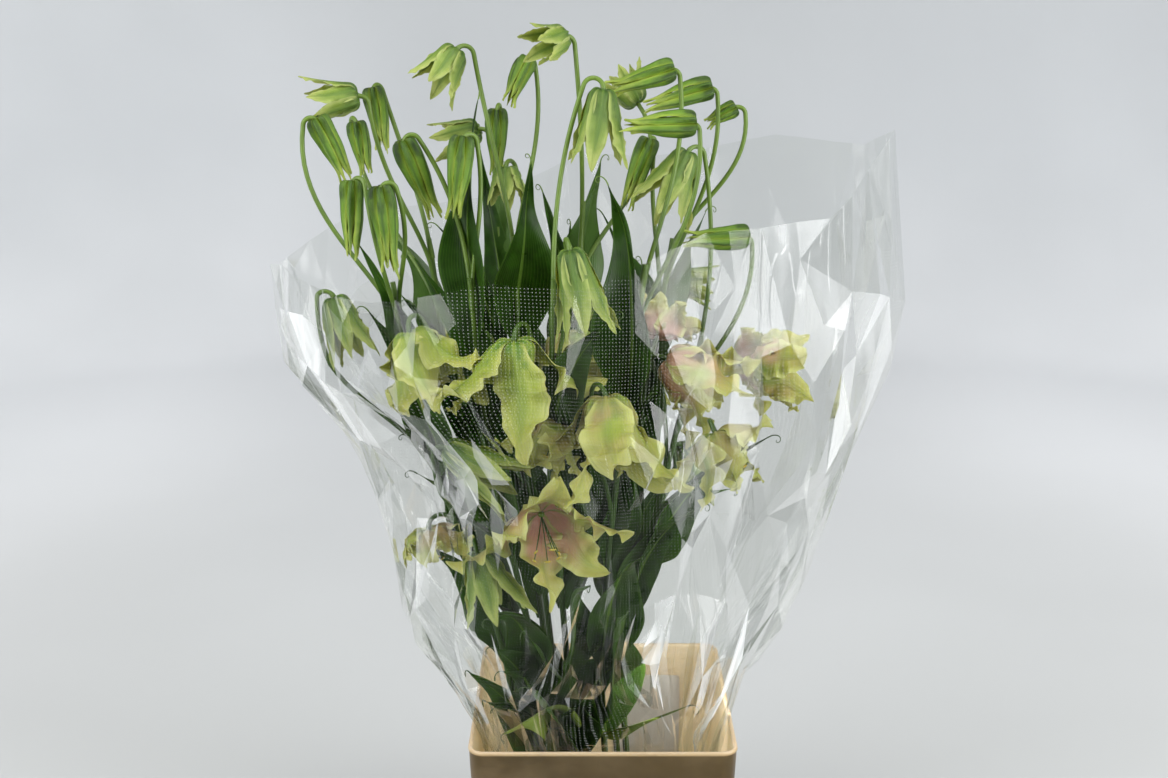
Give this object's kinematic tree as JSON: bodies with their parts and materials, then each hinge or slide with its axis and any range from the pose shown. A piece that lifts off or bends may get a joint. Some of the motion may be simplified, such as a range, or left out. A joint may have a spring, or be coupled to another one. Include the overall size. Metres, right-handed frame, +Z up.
{
  "type": "glory lily bunch in a flower bucket",
  "caption": "Cut glory lilies with nodding green buds and waved yellow blooms, wrapped in clear film and standing in water in a square plastic bucket.",
  "frame": {"origin": "centre of the bucket's underside", "axes": "+Z up, -Y towards the front of the bunch, +X to the viewer's right"},
  "size_m": [0.6185, 0.4038, 1.0002],
  "materials": {
    "bucket_plastic": "satin cream polypropylene, a little translucent",
    "water": "still water, faintly green",
    "card": "blank white card",
    "clear_film": "clear creased film",
    "leaf_green": "waxy green stems and leaves",
    "bud_green": "satin green buds",
    "lime_tepal": "satin lime tepals",
    "yellow_tepal": "satin pale yellow tepals, flushed pink"
  },
  "bodies": {
    "root": {"bucket": "bucket_plastic", "water": "water", "label_card": "card", "film_sleeve": "clear_film", "stem_01": "leaf_green", "stem_02": "leaf_green", "stem_03": "leaf_green", "stem_04": "leaf_green", "stem_05": "leaf_green", "stem_06": "leaf_green", "stem_07": "leaf_green", "stem_08": "leaf_green", "stem_09": "leaf_green", "stem_10": "leaf_green", "bloom_01": "lime_tepal", "bloom_02": "bud_green", "bloom_03": "bud_green", "bloom_04": "bud_green", "bloom_05": "bud_green", "bloom_06": "bud_green", "bloom_07": "bud_green", "bloom_08": "bud_green", "bloom_09": "lime_tepal", "bloom_10": "bud_green", "bloom_11": "lime_tepal", "bloom_12": "bud_green", "bloom_13": "lime_tepal", "bloom_14": "lime_tepal", "bloom_15": "lime_tepal", "bloom_16": "lime_tepal", "bloom_17": "bud_green", "bloom_18": "bud_green", "bloom_19": "bud_green", "bloom_20": "bud_green", "bloom_21": "bud_green", "bloom_22": "lime_tepal", "bloom_23": "bud_green", "bloom_24": "lime_tepal", "bloom_25": "lime_tepal", "bloom_26": "yellow_tepal", "bloom_27": "yellow_tepal", "bloom_28": "yellow_tepal", "bloom_29": "yellow_tepal", "bloom_30": "yellow_tepal", "bloom_31": "yellow_tepal", "bloom_32": "yellow_tepal", "bloom_33": "lime_tepal", "bloom_34": "lime_tepal", "bloom_35": "yellow_tepal", "bloom_36": "lime_tepal", "bloom_37": "yellow_tepal", "bloom_38": "lime_tepal", "bloom_39": "lime_tepal", "bloom_40": "yellow_tepal", "bloom_41": "yellow_tepal", "bloom_42": "yellow_tepal", "bloom_43": "yellow_tepal", "bloom_44": "lime_tepal", "bloom_45": "yellow_tepal", "bloom_46": "yellow_tepal"}
  },
  "joints": []
}
